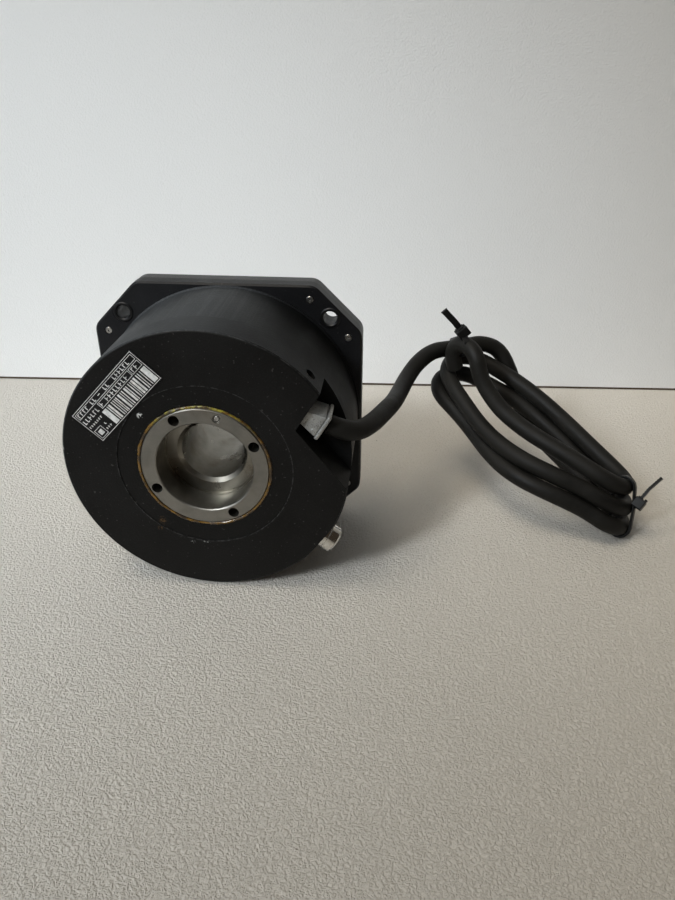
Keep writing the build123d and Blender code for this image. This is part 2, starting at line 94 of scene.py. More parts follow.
# Towards its lower end the coil twists about its length, and its near side lifts.
TWIST = radians(24)
TWIST_FROM = -70.0
TWIST_RISE = 2.3
# Each turn: its two ends along the coil, the radii there, how far its near and far sides bulge,
# the middle of its ends across the coil, and its height in the coil.
TURNS = [
    {"upper": -88.5, "lower": 1.5, "upper_r": 10.0, "lower_r": 11.0, "near": 10.5, "far": 1.0,
     "upper_mid": 8.0, "lower_mid": 6.0, "height": 0.0},
    {"upper": -88.6, "lower": -2.0, "upper_r": 10.0, "lower_r": 9.8, "near": 7.5, "far": 4.0,
     "upper_mid": 4.2, "lower_mid": 6.0, "height": 6.2},
    {"upper": -90.0, "lower": -6.5, "upper_r": 9.0, "lower_r": 9.0, "near": 1.5, "far": 3.5,
     "upper_mid": 9.0, "lower_mid": 6.2, "height": 12.2},
]


def eased(low, high, share):
    share = min(max(share, 0.0), 1.0)
    return low + (high - low) * share * share * (3 - 2 * share)


def turn_place(turn, share):
    """(along, across its middle) on a turn's oval, at a share of its length from its upper end."""
    upper_r, lower_r = turn["upper_r"], turn["lower_r"]
    start, end = turn["upper"] + upper_r, turn["lower"] - lower_r
    side = end - start
    quarter, half = pi / 2 * upper_r, pi * lower_r
    travelled = share * (2 * quarter + 2 * side + half)

    def on_side(along, way, bulge, skew):
        rise = (along - start) / side
        swell = max(sin(pi * rise ** skew), 0) ** 1.2
        return along, way * (eased(upper_r, lower_r, rise) + bulge * swell)

    if travelled < quarter:
        angle = travelled / upper_r
        return start - upper_r * cos(angle), upper_r * sin(angle)
    travelled -= quarter
    if travelled < side:
        return on_side(start + travelled, 1, turn["far"], 0.85)
    travelled -= side
    if travelled < half:
        angle = travelled / lower_r
        return end + lower_r * sin(angle), lower_r * cos(angle)
    travelled -= half
    if travelled < side:
        return on_side(end - travelled, -1, turn["near"], 1.5)
    angle = (travelled - side) / upper_r
    return start - upper_r * sin(angle), -upper_r * cos(angle)


def turn_middle(turn, along):
    share = (along - turn["upper"]) / (turn["lower"] - turn["upper"])
    return turn["upper_mid"] + (turn["lower_mid"] - turn["upper_mid"]) * min(max(share, 0), 1)


def coil_points():
    """Control points of the coil's turns, each blending into the next at the upper end."""
    count = int((COIL_END - COIL_START) * POINTS_PER_TURN)
    points = []
    for step in range(count + 1):
        progress = COIL_START + step * (COIL_END - COIL_START) / count
        number = min(int(progress), len(TURNS) - 1)
        share = progress - number
        turn = TURNS[number]
        along, across = turn_place(turn, share)
        middle, height = turn_middle(turn, along), turn["height"]
        leaving = (share - 1 + HANDOVER) / HANDOVER
        if leaving > 0 and number + 1 < len(TURNS):
            following = TURNS[number + 1]
            next_along, next_across = turn_place(following, share)
            middle = eased(middle, turn_middle(following, next_along), leaving)
            along = eased(along, next_along, leaving)
            across = eased(across, next_across, leaving)
            height = eased(height, following["height"], leaving / 2)
        elif share < HANDOVER and number > 0:
            height = eased(TURNS[number - 1]["height"], height, 0.5 + share / HANDOVER / 2)
        lean = eased(0, 1, 1 - along / TWIST_FROM)
        twist = TWIST * lean
        sideways = middle + across * cos(twist) + height * sin(twist)
        upwards = TWIST_RISE * lean - across * sin(twist) + height * cos(twist)
        offset = COIL_LONG * along + COIL_ACROSS * sideways + COIL_NORMAL * upwards
        points.append(COIL_FOOT + offset * MM)
    return points


def make_cable(look):
    points = [*LEAD, *coil_points(), *ARCH]
    curve = bpy.data.curves.new("cable", "CURVE")
    curve.dimensions = "3D"
    spline = curve.splines.new("NURBS")
    spline.points.add(len(points) - 1)
    for control, point in zip(spline.points, points):
        control.co = (*point, 1.0)
    spline.order_u = 3
    spline.use_endpoint_u = True
    curve.resolution_u = 8
    curve.bevel_depth = CABLE_R
    curve.bevel_resolution = 7
    curve.use_fill_caps = True
    curve.materials.append(look)
    cable = bpy.data.objects.new("cable", curve)
    bpy.context.collection.objects.link(cable)
    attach(cable, "stator")
    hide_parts("cable_lead", "cable_coil")
    return cable


# ---- mesh helpers ---------------------------------------------------------------------------
def add_mesh(name, vertices, faces, look, smooth=True):
    mesh = bpy.data.meshes.new(name)
    mesh.from_pydata([tuple(vertex) for vertex in vertices], [], faces)
    mesh.update()
    if smooth:
        mesh.polygons.foreach_set("use_smooth", [True] * len(mesh.polygons))
    mesh.materials.append(look)
    piece = bpy.data.objects.new(name, mesh)
    bpy.context.collection.objects.link(piece)
    return piece


def joined(name, solids, look, smooth=False):
    """One piece from several closed solids, each given as (vertices, faces)."""
    vertices, faces = [], []
    for corners, sides in solids:
        first = len(vertices)
        vertices += corners
        faces += [tuple(first + index for index in side) for side in sides]
    return add_mesh(name, vertices, faces, look, smooth)


def slab(origin, across, along, out, size, thickness):
    """Flat block: size is (low, high) across and along, and it stands out from its origin plane."""
    (low_a, high_a), (low_b, high_b) = size
    corners = []
    for height in (0.0, thickness):
        for a, b in ((low_a, low_b), (high_a, low_b), (high_a, high_b), (low_a, high_b)):
            corners.append(origin + across * a + along * b + out * height)
    sides = [(0, 1, 2, 3), (7, 6, 5, 4), (0, 4, 5, 1), (1, 5, 6, 2), (2, 6, 7, 3), (3, 7, 4, 0)]
    return corners, sides


def soften(piece, width, segments=3, angle=30):
    bevel = piece.modifiers.new("soften", "BEVEL")
    bevel.width = width
    bevel.segments = segments
    bevel.limit_method = "ANGLE"
    bevel.angle_limit = radians(angle)


def at_stator(piece, slot, *nodes):
    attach(piece, "stator")
    if nodes:
        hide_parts(*nodes)
    return piece


# ---- label ----------------------------------------------------------------------------------
def make_label_print(ink):
    """Generic print on the label: frame lines, rows of strokes that spell nothing, and stripes."""
    low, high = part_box("label_plate")
    centre = Vector(((low.x + high.x) / 2, low.y, (low.z + high.z) / 2))
    slope = radians(46.3)
    along = Vector((cos(slope), 0, sin(slope)))
    across = Vector((-sin(slope), 0, cos(slope)))
    out = Vector((0, -1, 0))
    ink_height = 0.03 * MM
    line = 0.16
    blank_share = 0.12
    draws = random.Random(5)
    solids = []

    def patch(u0, u1, v0, v1):
        size = ((u0 * MM, u1 * MM), (v0 * MM, v1 * MM))
        solids.append(slab(centre, along, across, out, size, ink_height))

    def frame_line(u0, u1, v0, v1):
        patch(u0, u1, v0, v0 + line)
        patch(u0, u1, v1 - line, v1)
        patch(u0, u0 + line, v0 + line, v1 - line)
        patch(u1 - line, u1, v0 + line, v1 - line)

    def marks(u0, u1, v0, v1, pitch):
        """A row of upright strokes, each with one short bar beside it, with a blank now and then."""
        u = u0
        stroke = 0.3
        while u + 0.75 * pitch < u1:
            if draws.random() > blank_share:
                patch(u, u + stroke, v0, v1)
                bar = v0 + draws.choice((0.0, 0.4, 0.8)) * (v1 - v0)
                patch(u + stroke, u + 0.6 * pitch, bar, bar + 0.2 * (v1 - v0))
            u += pitch

    # In millimetres from the label's middle: from and to along it, then from and to across it.
    frame_line(-14.7, 14.7, -5.7, 5.7)
    frame_line(-14.1, 14.1, 3.1, 5.1)
    marks(-13.5, -4.0, 3.5, 4.7, 1.3)
    patch(-3.4, -2.4, 4.0, 4.25)
    marks(-1.6, 2.8, 3.5, 4.7, 1.3)
    marks(4.4, 13.8, 3.5, 4.7, 1.3)
    marks(-14.0, -6.6, 0.9, 2.3, 1.25)
    marks(-14.0, -7.4, -0.9, -0.2, 0.9)
    frame_line(-5.8, 9.4, 0.6, 2.7)
    marks(-5.3, 9.0, 1.0, 2.3, 1.35)
    frame_line(9.7, 14.1, 0.6, 2.7)
    marks(10.4, 13.8, 1.0, 2.3, 1.4)
    frame_line(-14.1, -10.9, -5.2, -2.0)
    patch(-13.3, -11.7, -4.4, -2.8)
    marks(-10.3, -7.4, -3.0, -2.3, 0.9)
    marks(-10.3, -7.4, -4.5, -3.8, 0.9)
    patch(-6.9, -5.1, -5.2, 0.1)
    patch(12.3, 14.1, -5.2, 0.1)
    u = -4.6
    while u < 11.6:
        width = draws.choice((0.25, 0.35, 0.7))
        patch(u, u + width, -5.2, 0.1)
        u += width + draws.choice((0.35, 0.5, 0.7))
    at_stator(joined("label_print", solids, ink), "label")


# ---- grease round the rotor -----------------------------------------------------------------
def make_grease(look):
    """Thin uneven bead of old grease in the gap between the turning ring and the cover."""
    around, section = 360, 9
    inner, outer = RING_R + 0.08 * MM, RING_R + 0.95 * MM
    vertices, faces = [], []
    for step in range(around):
        angle = 2 * pi * step / around
        lump = noise.noise(Vector((5 * cos(angle), 5 * sin(angle), 0.3)))
        fine = noise.noise(Vector((30 * cos(angle), 30 * sin(angle), 4.1)))
        height = (0.34 + 0.20 * lump + 0.16 * fine) * MM
        edge = outer + (0.25 * lump + 0.18 * fine) * MM
        for corner in range(section):
            turn = pi * corner / (section - 1)
            radius = (inner + edge) / 2 - (edge - inner) / 2 * cos(turn)
            depth = FRONT + 0.30 * MM - height * sin(turn)
            vertices.append((radius * cos(angle), depth, radius * sin(angle)))
    for step in range(around):
        here, there = step * section, (step + 1) % around * section
        for corner in range(section):
            beside = (corner + 1) % section
            faces.append((here + corner, there + corner, there + beside, here + beside))
    at_stator(add_mesh("grease_bead", vertices, faces, look), "grease_seal")


# ---- gland ----------------------------------------------------------------------------------
def make_gland(look):
    """Rough zinc casting over the gland's two solids, with rounded edges and pitted faces."""
    for node, voxel in (("gland_body", 0.16), ("gland_end_plate", 0.14)):
        piece = bpy.data.objects.new(node + "_cast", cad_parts[node].data.copy())
        bpy.context.collection.objects.link(piece)
        remesh = piece.modifiers.new("remesh", "REMESH")
        remesh.mode = "VOXEL"
        remesh.voxel_size = voxel * MM
        rounder = piece.modifiers.new("rounder", "SMOOTH")
        rounder.iterations = 4
        shaped = piece.evaluated_get(bpy.context.evaluated_depsgraph_get())
        baked = bpy.data.meshes.new_from_object(shaped)
        piece.modifiers.clear()
        piece.data = baked
        for vertex in baked.vertices:
            spot = vertex.co / MM
            swell = noise.noise(spot * 0.9) * 0.05
            pit = max(0.0, noise.noise(spot * 2.6) - 0.42) * 0.55
            grain = noise.noise(spot * 5.0) * 0.02
            vertex.co -= vertex.normal * (pit - swell - grain + 0.02) * MM
        baked.polygons.foreach_set("use_smooth", [True] * len(baked.polygons))
        baked.materials.clear()
        baked.materials.append(look)
        at_stator(piece, "cast_zinc", node)


# ---- cable ties -----------------------------------------------------------------------------
def centreline(cable):
    """Points along the cable's own spline, from a copy with no thickness."""
    bare = cable.copy()
    bare.data = cable.data.copy()
    bare.data.bevel_depth = 0
    bpy.context.collection.objects.link(bare)
    bpy.context.view_layer.update()
    mesh = bpy.data.meshes.new_from_object(bare.evaluated_get(bpy.context.evaluated_depsgraph_get()))
    points = [vertex.co.copy() for vertex in mesh.vertices]
    bpy.data.meshes.remove(mesh)
    bpy.data.objects.remove(bare)
    return points


def crossings(line, centre, axis, reach):
    """Where the cable passes through a tie's plane, near the tie."""
    found = []
    for here, there in zip(line, line[1:]):
        before, after = (here - centre).dot(axis), (there - centre).dot(axis)
        if before * after <= 0 and before != after:
            spot = here.lerp(there, before / (before - after))
            if (spot - centre).length < reach:
                found.append(spot)
    return found


def hull(points):
    """Convex outline of flat points, anticlockwise."""
    points = sorted(points)

    def half(sequence):
        chain = []
        for point in sequence:
            while len(chain) > 1 and (
                (chain[-1][0] - chain[-2][0]) * (point[1] - chain[-2][1])
                - (chain[-1][1] - chain[-2][1]) * (point[0] - chain[-2][0])
            ) <= 0:
                chain.pop()
            chain.append(point)
        return chain[:-1]

    return half(points) + half(points[::-1])


def strap_path(spots, centre, first, second, clearance):
    """Closed line round the strands at a set distance from their centres."""
    flat = hull([((spot - centre).dot(first), (spot - centre).dot(second)) for spot in spots])
    arc_steps = 7
    path = []
    for number, corner in enumerate(flat):
        before, after = flat[number - 1], flat[(number + 1) % len(flat)]
        arrive = atan2(corner[1] - before[1], corner[0] - before[0]) - pi / 2
        leave = atan2(after[1] - corner[1], after[0] - corner[0]) - pi / 2
        sweep = (leave - arrive) % (2 * pi)
        for step in range(arc_steps + 1):
            angle = arrive + sweep * step / arc_steps
            spot = (corner[0] + clearance * cos(angle), corner[1] + clearance * sin(angle))
            path.append(centre + first * spot[0] + second * spot[1])
    return path


def band(path, wide, width, thickness, closed, ribs=0.0):
    """Flat strap along a path, as (vertices, faces): wide is the direction of its width."""
    count = len(path)
    vertices, faces = [], []
    for number, point in enumerate(path):
        before = path[number - 1] if closed or number else point
        after = path[(number + 1) % count] if closed or number + 1 < count else point
        out = (after - before).normalized().cross(wide).normalized()
        rib = ribs if number % 2 else 0.0
        for side, level in ((-1, 0), (1, 0), (1, 1), (-1, 1)):
            vertices.append(point + wide * (side * width / 2) + out * ((thickness + rib) * level))
    for number in range(count if closed else count - 1):
        here, there = 4 * number, 4 * ((number + 1) % count)
        for corner in range(4):
            beside = (corner + 1) % 4
            faces.append((here + corner, there + corner, there + beside, here + beside))
    if not closed:
        last = 4 * (count - 1)
        faces += [(3, 2, 1, 0), (last, last + 1, last + 2, last + 3)]
    return vertices, faces


def make_tie(name, node, line, look, centre, axis, reach, head, tail):
    """Strap drawn tight round the strands, its ratchet head, and the cut tail."""
    centre, axis, head = Vector(centre), Vector(axis).normalized(), Vector(head)
    tail = [Vector(point) for point in tail]
    first = axis.orthogonal().normalized()
    second = axis.cross(first)
    width, thickness = 2.4 * MM, 0.9 * MM
    spots = crossings(line, centre, axis, reach)
    loop = strap_path(spots, centre, first, second, CABLE_R + 0.1 * MM)
    strap = add_mesh(name + "_strap", *band(loop, axis, width, thickness, True), look, smooth=False)
    soften(strap, 0.25 * MM)
    at_stator(strap, "nylon", node)

    up = (tail[0] - head).normalized()
    wide = (axis - up * axis.dot(up)).normalized()
    thick = up.cross(wide)
    half_wide, half_thick, height = 2.3 * MM, 1.9 * MM, 3.6 * MM
    outline = ((-half_wide, half_wide), (-half_thick, half_thick))
    block = slab(head - up * height / 2, wide, thick, up, outline, height)
    lip = slab(head + up * height / 2, wide, thick, up,
               ((-half_wide * 0.78, half_wide * 0.78), (-half_thick * 0.2, half_thick * 0.8)), 0.5 * MM)
    tongue = ((-half_wide * 0.5, half_wide * 0.5), (-half_thick * 0.95, -half_thick * 0.45))
    pawl = slab(head + up * height / 2, wide, thick, up, tongue, 0.8 * MM)
    ratchet = joined(name + "_head", [block, lip, pawl], look)
    soften(ratchet, 0.3 * MM)
    at_stator(ratchet, "nylon")

    steps = 12
    path = []
    stations = [head, *tail]
    for start, end in zip(stations, stations[1:]):
        path += [start.lerp(end, step / steps) for step in range(steps)]
    path.append(stations[-1])
    ribbed = band(path, wide, width, 0.85 * MM, False, 0.18 * MM)
    end_strap = add_mesh(name + "_tail", *ribbed, look, smooth=False)
    soften(end_strap, 0.12 * MM, segments=2)
    at_stator(end_strap, "nylon")
    return [strap, ratchet, end_strap]


# ---- stage ----------------------------------------------------------------------------------
def sheet_of(name, corners, look):
    mesh = bpy.data.meshes.new(name)
    mesh.from_pydata(corners, [], [tuple(range(len(corners)))])
    mesh.materials.append(look)
    obj = bpy.data.objects.new(name, mesh)
    bpy.context.collection.objects.link(obj)
    return obj


def make_stage(floor_look, wall_look):
    wall_y = 0.115
    wall_turn = radians(2.6)
    reach = 1.6
    run = Vector((cos(wall_turn), sin(wall_turn), 0))
    foot = Vector((0, wall_y, FLOOR))
    left, right = foot - run * reach, foot + run * reach
    front_left, front_right = left - Vector((0, 2 * reach, 0)), right - Vector((0, 2 * reach, 0))
    behind = Vector((0, reach, 0))
    sheet_of("floor", [front_left, front_right, right + behind, left + behind], floor_look)
    rise = Vector((0, 0, reach))
    # A thin dark strip at the wall's foot is painted shade of the joint with the floor.
    gap = Vector((0, 0, 1.1 * MM))
    ahead = Vector((0, 0.05 * MM, 0))
    gap_left, gap_right = left - ahead, right - ahead
    sheet_of("wall_gap_shade", [gap_left, gap_right, gap_right + gap, gap_left + gap], gap_shade_look())
    sheet_of("wall", [left, right, right + rise, left + rise], wall_look)


def add_light(name, place, aim, size, power, color, spread):
    data = bpy.data.lights.new(name, "AREA")
    data.spread = radians(spread)
    data.shape = "RECTANGLE"
    data.size = data.size_y = size
    data.energy = power
    data.color = color
    lamp = bpy.data.objects.new(name, data)
    lamp.location = place
    lamp.rotation_euler = (Vector(aim) - Vector(place)).to_track_quat("-Z", "Y").to_euler()
    bpy.context.collection.objects.link(lamp)


def make_room():
    """Sky that is bright and cool on the upper left, and dim and warm behind the camera."""
    world = bpy.data.worlds.new("room")
    world.use_nodes = True
    tree = world.node_tree
    background = tree.nodes["Background"]
    place = tree.nodes.new("ShaderNodeTexCoord").outputs["Generated"]
    toward = tree.nodes.new("ShaderNodeVectorMath")
    toward.operation = "DOT_PRODUCT"
    toward.inputs[1].default_value = Vector((-0.62, 0.18, 0.76))
    tree.links.new(place, toward.inputs[0])
    ramp = tree.nodes.new("ShaderNodeValToRGB")
    tree.links.new(toward.outputs["Value"], ramp.inputs["Fac"])
    ramp.color_ramp.elements[0].color = (0.07, 0.055, 0.04, 1)
    ramp.color_ramp.elements[1].color = (0.88, 0.95, 1.0, 1)
    ramp.color_ramp.elements[1].position = 0.9
    tree.links.new(ramp.outputs["Color"], background.inputs["Color"])
    background.inputs["Strength"].default_value = 0.55
    bpy.context.scene.world = world


def make_lights():
    make_room()
    bpy.context.scene.view_settings.view_transform = "Standard"
    add_light("window", place=(-0.607, -0.615, 0.584), aim=(-0.095, 0.07, 0.01), size=0.4,
              power=0.52, color=(0.89, 0.95, 1.0), spread=20.5)
    add_light("ceiling", place=(-0.15, -0.20, 1.20), aim=(0.46, 0.10, -0.02), size=0.7,
              power=1.0, color=(1.0, 0.89, 0.72), spread=49.4)


# ---- materials ------------------------------------------------------------------------------
class Look:
    """One procedural material, drawn in the frame's own metres."""

    def __init__(self, name, **settings):
        self.material = bpy.data.materials.new(name)
        self.material.use_nodes = True
        self.tree = self.material.node_tree
        self.shader = self.tree.nodes["Principled BSDF"]
        self.place = self.tree.nodes.new("ShaderNodeTexCoord").outputs["Object"]
        self.set(**settings)

    def plug(self, value, socket):
        if isinstance(value, bpy.types.NodeSocket):
            self.tree.links.new(value, socket)
        elif hasattr(value, "__len__") and len(value) == 3 and socket.type == "RGBA":
            socket.default_value = (*value, 1.0)
        else:
            socket.default_value = value

    def set(self, **settings):
        for name, value in settings.items():
            self.plug(value, self.shader.inputs[name.replace("_", " ").title().replace("Ior", "IOR")])
        return self

    def math(self, operation, first, second=0.0):
        node = self.tree.nodes.new("ShaderNodeMath")
        node.operation = operation
        self.plug(first, node.inputs[0])
        self.plug(second, node.inputs[1])
        return node.outputs[0]

    def step(self, value, low, high, start=0.0, end=1.0):
        """Smooth change from start to end as value goes from low to high."""
        node = self.tree.nodes.new("ShaderNodeMapRange")
        node.interpolation_type = "SMOOTHSTEP"
        for socket, number in zip(node.inputs, (value, low, high, start, end)):
            self.plug(number, socket)
        return node.outputs[0]

    def stretched(self, stretch, place):
        node = self.tree.nodes.new("ShaderNodeMapping")
        self.plug(place, node.inputs["Vector"])
        node.inputs["Scale"].default_value = stretch
        return node.outputs[0]

    def noise(self, scale, detail=3.0, roughness=0.55, place=None, distortion=0.0):
        node = self.tree.nodes.new("ShaderNodeTexNoise")
        self.plug(place or self.place, node.inputs["Vector"])
        node.inputs["Scale"].default_value = scale
        node.inputs["Detail"].default_value = detail
        node.inputs["Roughness"].default_value = roughness
        node.inputs["Distortion"].default_value = distortion
        return node.outputs["Fac"]

    def cell_edges(self, scale):
        """Distance to the nearest border between cells."""
        node = self.tree.nodes.new("ShaderNodeTexVoronoi")
        node.feature = "DISTANCE_TO_EDGE"
        self.plug(self.place, node.inputs["Vector"])
        node.inputs["Scale"].default_value = scale
        return node.outputs["Distance"]

    def axes(self):
        node = self.tree.nodes.new("ShaderNodeSeparateXYZ")
        self.plug(self.place, node.inputs[0])
        return node.outputs

    def radius(self):
        """Distance from the shaft's axis."""
        x, _, z = self.axes()
        squares = self.math("ADD", self.math("MULTIPLY", x, x), self.math("MULTIPLY", z, z))
        return self.math("SQRT", squares)

    def around(self, per_radius, per_depth, per_angle=0.0):
        """Coordinates that follow the turned surfaces: radius, depth and angle about the shaft."""
        x, y, z = self.axes()
        node = self.tree.nodes.new("ShaderNodeCombineXYZ")
        self.plug(self.math("MULTIPLY", self.radius(), per_radius), node.inputs[0])
        self.plug(self.math("MULTIPLY", y, per_depth), node.inputs[1])
        self.plug(self.math("MULTIPLY", self.math("ARCTAN2", z, x), per_angle), node.inputs[2])
        return node.outputs[0]

    def mix(self, share, first, second):
        node = self.tree.nodes.new("ShaderNodeMix")
        node.data_type = "RGBA"
        self.plug(share, node.inputs["Factor"])
        self.plug(first, node.inputs[6])
        self.plug(second, node.inputs[7])
        return node.outputs[2]

    def blob(self, centre, size, edge=0.4):
        """1 inside an ellipsoid, falling to 0 at its rim."""
        node = self.tree.nodes.new("ShaderNodeVectorMath")
        node.operation = "SUBTRACT"
        self.plug(self.place, node.inputs[0])
        node.inputs[1].default_value = centre
        scaled = self.stretched([1 / s for s in size], place=node.outputs[0])
        length = self.tree.nodes.new("ShaderNodeVectorMath")
        length.operation = "LENGTH"
        self.plug(scaled, length.inputs[0])
        return self.step(length.outputs["Value"], edge, 1.0, 1.0, 0.0)

    def bump(self, height, distance, strength):
        node = self.tree.nodes.new("ShaderNodeBump")
        node.inputs["Strength"].default_value = strength
        node.inputs["Distance"].default_value = distance
        self.plug(height, node.inputs["Height"])
        self.plug(node.outputs[0], self.shader.inputs["Normal"])


# Black of the turned outside with its wear, paler than the face's black as painted sheen: its darker
# and its lighter patches.
OUTSIDE_PAINT_AND_SHEEN = (0.0205, 0.0220, 0.0235), (0.034, 0.0365, 0.039)


def black_paint(name, base, light, shine, gloss=0.25, streaks=0.0, marks=()):
    """Satin black coating with fine grain, smudges, dust and streaks along the shaft."""
    look = Look(name, specular_ior_level=gloss)
    grain = look.noise(1600, detail=2)
    smudge = look.noise(38, detail=4, roughness=0.6)
    dust = look.step(look.noise(1100, detail=1), 0.71, 0.78)
    color = look.mix(look.step(smudge, 0.35, 0.7), base, light)
    speckle = look.step(look.noise(2600, detail=2), 0.5, 0.75, 0.0, 0.5)
    color = look.mix(speckle, color, [2.4 * channel for channel in light])
    color = look.mix(look.math("MULTIPLY", dust, 0.14), color, (0.25, 0.24, 0.22))
    rough = look.math("ADD", look.step(smudge, 0.3, 0.7, shine, shine + 0.14),
                      look.math("MULTIPLY", grain, 0.08))
    if streaks:
        lines = look.noise(1.0, detail=5, place=look.around(0, 14, 60))
        color = look.mix(look.step(lines, 0.4, 0.8, 0.0, streaks), color, (0.16, 0.17, 0.17))
    for place, size, density, tint in marks:
        spots = look.step(look.noise(1500, detail=3), 1 - density, 1.06 - density)
        patch = look.math("MULTIPLY", look.blob(place, size), spots)
        color = look.mix(patch, color, tint)
    look.set(base_color=color, roughness=rough)
    look.bump(grain, 0.00010, 0.6)
    return look


def shaded(look, color):
    """Blacker towards +x: shading that the photograph shows and the lights alone don't give."""
    across, _, _ = look.axes()
    return look.mix(look.step(across, -4 * MM, 24 * MM, 0.0, 0.9), color, (0.001, 0.001, 0.001))


def cover_look():
    grey, pale = (0.035, 0.035, 0.035), (0.22, 0.22, 0.21)
    white, brown = (0.55, 0.55, 0.52), (0.06, 0.035, 0.015)
    marks = [
        ((0.0283, FRONT, 0.0300), (0.0036, 0.003, 0.0022), 0.38, grey),
        ((-0.0060, FRONT, -0.0276), (0.0010, 0.002, 0.0008), 0.47, pale),
        ((-0.0017, FRONT, -0.0274), (0.0016, 0.002, 0.0006), 0.47, pale),
        ((-0.0436, FRONT, 0.0048), (0.0006, 0.002, 0.0010), 0.75, white),
        ((-0.0180, FRONT, 0.0168), (0.0012, 0.002, 0.0012), 0.50, white),
        ((-0.0153, FRONT, -0.0201), (0.0016, 0.002, 0.0020), 0.52, brown),
        ((-0.0163, FRONT, -0.0229), (0.0010, 0.002, 0.0010), 0.52, brown),
    ]
    look = black_paint("cover_paint", (0.0036, 0.0034, 0.0031), (0.0062, 0.0058, 0.0053), 0.42,
                       gloss=0.17, marks=marks)
    # The rim shares the housing's wear, painted sheen and painted shade; a pale patchy line along its
    # front edge and round the step is painted highlight and edge wear.
    _, depth, _ = look.axes()
    rim = look.step(look.radius(), BODY_R - 0.45 * MM, BODY_R - 0.2 * MM)
    edge = look.math("MULTIPLY", rim, look.step(depth, FRONT, FRONT + 0.7 * MM, 1.0, 0.0))
    from_lip = look.math("ABSOLUTE", look.math("SUBTRACT", look.radius(), 27.1 * MM))
    lip = look.step(from_lip, 0.1 * MM, 0.2 * MM, 0.5, 0.0)
    patchy = look.step(look.noise(900, detail=3), 0.35, 0.7)
    highlight_and_wear = look.math("MULTIPLY", look.math("MAXIMUM", edge, lip), patchy)
    paint = look.shader.inputs["Base Color"].links[0].from_socket
    color = look.mix(rim, paint, shaded(look, look.mix(look.noise(60, detail=4), *OUTSIDE_PAINT_AND_SHEEN)))
    look.set(base_color=look.mix(look.math("MULTIPLY", highlight_and_wear, 0.6), color, (0.14, 0.14, 0.135)))
    return look.material


def housing_look():
    # Painted sheen in its paler black, and painted shade making it blacker towards +x.
    look = black_paint("housing_paint", *OUTSIDE_PAINT_AND_SHEEN, 0.42, gloss=0.16, streaks=0.16)
    look.set(base_color=shaded(look, look.shader.inputs["Base Color"].links[0].from_socket))
    return look.material


def plate_look(name, base, light):
    return black_paint(name, base, light, 0.36).material


def steel_look(name, tint, shine, fine=9000.0, stain=0.0):
    """Turned steel: fine concentric marks, and stains where oil has dried."""
    look = Look(name, metallic=1.0)
    marks = look.noise(1.0, detail=2, place=look.around(fine, fine, 3))
    cloud = look.noise(160, detail=4)
    dark = [0.55 * channel for channel in tint]
    color = look.mix(look.step(cloud, 0.35, 0.72), tint, [0.8 * channel for channel in tint])
    color = look.mix(look.math("MULTIPLY", marks, 0.35), color, dark)
    if stain:
        oily = look.step(look.noise(90, detail=5), 0.48, 0.7, 0.0, stain)
        color = look.mix(oily, color, (0.10, 0.055, 0.02))
    look.set(base_color=color, roughness=look.step(cloud, 0.3, 0.7, shine, shine + 0.12))
    look.bump(marks, 0.00002, 0.4)
    return look.material


def zinc_look():
    look = Look("cast_zinc", metallic=0.75)
    cloud = look.noise(220, detail=5, roughness=0.65)
    pits = look.step(look.noise(2400, detail=2), 0.30, 0.44, 0.8, 0.0)
    color = look.mix(look.step(cloud, 0.3, 0.7), (0.50, 0.50, 0.48), (0.34, 0.34, 0.33))
    color = look.mix(pits, color, (0.10, 0.095, 0.085))
    look.set(base_color=color, roughness=look.step(cloud, 0.3, 0.7, 0.38, 0.6))
    look.bump(look.math("SUBTRACT", cloud, pits), 0.00015, 0.6)
    return look.material


def rubber_look(name, base, light, rough):
    look = Look(name)
    cloud = look.noise(120, detail=4)
    grain = look.noise(2200, detail=2)
    look.set(base_color=look.mix(look.step(cloud, 0.35, 0.7), base, light),
             roughness=look.step(cloud, 0.3, 0.7, rough, rough + 0.15))
    look.bump(grain, 0.00003, 0.5)
    return look.material


def grease_look():
    look = Look("grease_seal", specular_ior_level=0.6)
    cloud = look.noise(300, detail=4)
    color = look.mix(look.step(cloud, 0.35, 0.65), (0.16, 0.085, 0.015), (0.025, 0.014, 0.006))
    _, _, height = look.axes()
    lumps = look.step(look.noise(500), 0.4, 0.6)
    # Yellower on the bead's top.
    yellower_on_top = look.math("MULTIPLY", look.step(height, 11 * MM, 20 * MM), lumps)
    look.set(base_color=look.mix(yellower_on_top, color, (0.30, 0.26, 0.03)),
             roughness=look.step(cloud, 0.3, 0.7, 0.12, 0.4))
    look.bump(cloud, 0.0003, 0.7)
    return look.material


def nickel_look():
    look = Look("nickel", metallic=1.0)
    cloud = look.noise(200, detail=3)
    look.set(base_color=look.mix(cloud, (0.80, 0.78, 0.74), (0.62, 0.60, 0.56)),
             roughness=look.step(cloud, 0.3, 0.7, 0.10, 0.22))
    return look.material


def cable_look():
    look = Look("cable_jacket", specular_ior_level=0.2)
    cloud = look.noise(90, detail=5, roughness=0.6)
    grain = look.noise(1500, detail=3)
    dust = look.step(look.noise(700, detail=2), 0.62, 0.8)
    color = look.mix(look.step(cloud, 0.3, 0.7), (0.0060, 0.0056, 0.0048), (0.0125, 0.0116, 0.0098))
    color = look.mix(look.math("MULTIPLY", dust, 0.05), color, (0.12, 0.11, 0.09))
    look.set(base_color=color, roughness=look.step(cloud, 0.3, 0.7, 0.5, 0.66))
    look.bump(look.math("ADD", grain, look.noise(260, detail=2)), 0.00012, 0.5)
    return look.material


